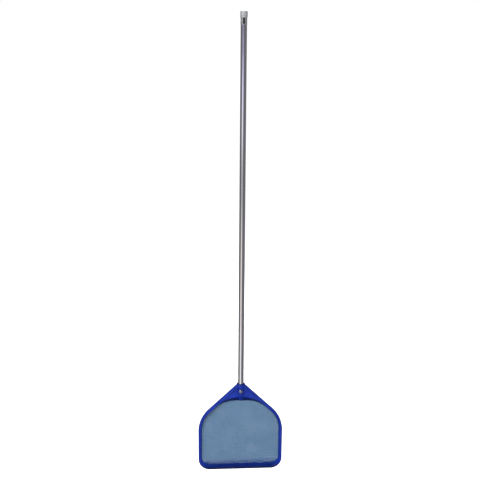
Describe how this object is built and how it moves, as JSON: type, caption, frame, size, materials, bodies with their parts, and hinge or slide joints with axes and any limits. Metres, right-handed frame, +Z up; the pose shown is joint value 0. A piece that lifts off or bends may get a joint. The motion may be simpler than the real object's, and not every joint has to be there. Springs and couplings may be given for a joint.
{
  "type": "leaf skimmer net",
  "caption": "Flat pool leaf skimmer: fine mesh in a moulded plastic tray frame, bolted with a wing nut to a straight aluminium pole with a hanging cap.",
  "frame": {"origin": "on the pole's axis, in the plane of the head's bottom edge", "axes": "+Z up along the pole from the head to the cap, X across the head, -Y towards the front of the tray"},
  "size_m": [0.2824, 0.0433, 1.4962],
  "materials": {
    "tube": "bright drawn tube with a clear anodised skin",
    "cap": "pale grey moulded plastic",
    "frame": "royal blue moulded plastic, satin to gloss",
    "net": "fine plain-woven monofilament mesh",
    "fastener": "bright zinc plate"
  },
  "bodies": {
    "skimmer": {"pole_tube": "tube", "pole_end_cap": "cap", "head_frame": "frame", "net_retainer_ring": "frame", "net_mesh": "net", "carriage_bolt": "fastener"},
    "washer": {"flat_washer": "fastener"},
    "nut": {"wing_nut": "fastener"}
  },
  "joints": [
    {"name": "wing_nut_travel", "type": "slide", "parent": "skimmer", "child": "washer", "axis": [0, 1, 0], "range_m": [0, 0.008]},
    {"name": "wing_nut_turn", "type": "hinge", "parent": "washer", "child": "nut", "pos_m": [0, 0, 0.2895], "axis": [0, 1, 0], "range_deg": [0, 3600]}
  ],
  "couplings": [
    {"joint": "wing_nut_turn", "follows": "wing_nut_travel", "rad_per_m": 7853.9}
  ]
}
